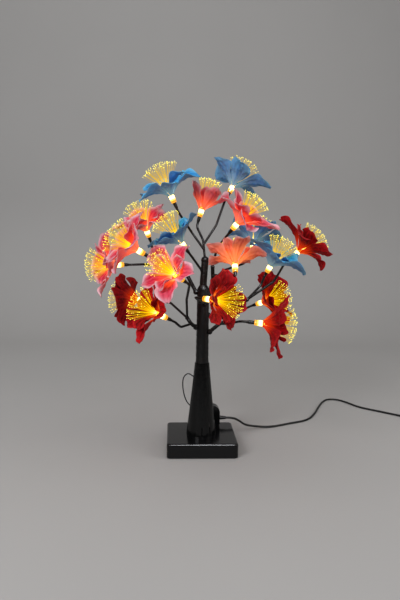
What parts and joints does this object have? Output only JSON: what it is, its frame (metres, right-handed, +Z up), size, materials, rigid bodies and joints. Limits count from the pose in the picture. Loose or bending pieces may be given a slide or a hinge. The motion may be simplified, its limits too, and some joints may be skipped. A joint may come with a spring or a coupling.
{
  "type": "flower lamp",
  "caption": "Table lamp shaped as a small flowering tree: square weighted base, fluted trunk, bendable wire limbs, fabric flowers with lit fibre tufts, switch box with button, and cord.",
  "frame": {"origin": "middle of the underside, on the table", "axes": "+Z up, -Y to the front, +X to the right as seen from the front"},
  "size_m": [0.6861, 0.4069, 0.4512],
  "materials": {
    "gloss_black": "gloss",
    "matte_black": "matte",
    "steel": "plain",
    "plated_steel": "plated",
    "foam": "matte",
    "black_tape": "satin",
    "black_cable": "satin",
    "board_green": "satin",
    "button_black": "gloss",
    "petal_blue": "thin cloth",
    "petal_pink": "thin cloth",
    "petal_coral": "thin cloth",
    "petal_red": "thin cloth",
    "clear_sleeve": "clear plastic",
    "lamp_warm": "lit",
    "fibre_amber": "lit at the tips"
  },
  "bodies": {
    "stand": {"base_shell": "gloss_black", "base_plate": "matte_black", "base_screws": "steel", "foot_pad": "foam", "ballast_plate": "steel", "trunk_foot": "gloss_black", "trunk_screws": "steel", "trunk_wrap": "black_tape", "lead_bundle": "black_cable", "switch_box_shell": "gloss_black", "switch_box_lid": "gloss_black", "circuit_board": "board_green", "feed_lead": "black_cable", "cord_relief": "black_cable", "power_cord": "black_cable", "cord_coil": "black_cable", "coil_tie": "black_cable", "cord_plug": "black_cable", "plug_contact": "plated_steel", "leader_limb": "black_tape", "upper_limb": "black_tape", "front_twig": "black_tape", "blue_top_left_petals": "petal_blue", "blue_top_right_petals": "petal_blue", "blue_centre_petals": "petal_blue", "blue_rear_petals": "petal_blue", "pink_top_petals": "petal_pink", "pink_upper_right_petals": "petal_pink", "coral_centre_petals": "petal_coral", "red_centre_petals": "petal_red", "crown_led_sleeves": "clear_sleeve", "crown_led_lamps": "lamp_warm", "crown_fibre_tufts": "fibre_amber"},
    "power_button": {"power_button": "button_black"},
    "left_branch": {"left_limb": "black_tape", "pink_far_left_petals": "petal_pink", "pink_left_petals": "petal_pink", "pink_upper_left_petals": "petal_pink", "left_led_sleeves": "clear_sleeve", "left_led_lamps": "lamp_warm", "left_fibre_tufts": "fibre_amber"},
    "lower_left_branch": {"lower_left_limb": "black_tape", "red_lower_left_petals": "petal_red", "red_far_left_petals": "petal_red", "pink_front_left_petals": "petal_pink", "lower_left_led_sleeves": "clear_sleeve", "lower_left_led_lamps": "lamp_warm", "lower_left_fibre_tufts": "fibre_amber"},
    "lower_right_branch": {"lower_right_limb": "black_tape", "red_right_petals": "petal_red", "red_lower_right_petals": "petal_red", "lower_right_led_sleeves": "clear_sleeve", "lower_right_led_lamps": "lamp_warm", "lower_right_fibre_tufts": "fibre_amber"},
    "right_branch": {"right_limb": "black_tape", "blue_right_petals": "petal_blue", "red_far_right_petals": "petal_red", "right_led_sleeves": "clear_sleeve", "right_led_lamps": "lamp_warm", "right_fibre_tufts": "fibre_amber"}
  },
  "joints": [
    {"name": "left_bend", "type": "hinge", "parent": "stand", "child": "left_branch", "pos_m": [-0.01094, 0, 0.24], "axis": [0, 1, 0], "range_deg": [-5, 8]},
    {"name": "lower_left_bend", "type": "hinge", "parent": "stand", "child": "lower_left_branch", "pos_m": [-0.01061, -0.00345, 0.187], "axis": [0, 1, 0], "range_deg": [-8, 3]},
    {"name": "lower_right_bend", "type": "hinge", "parent": "stand", "child": "lower_right_branch", "pos_m": [0.01064, -0.00346, 0.18], "axis": [0, 1, 0], "range_deg": [-3, 8]},
    {"name": "right_bend", "type": "hinge", "parent": "stand", "child": "right_branch", "pos_m": [0.00959, 0.00554, 0.204], "axis": [0, 1, 0], "range_deg": [-8, 3]},
    {"name": "power_press", "type": "slide", "parent": "stand", "child": "power_button", "axis": [0, -1, 0], "range_m": [0, 0.0012], "stiffness_N_per_m": 600}
  ]
}
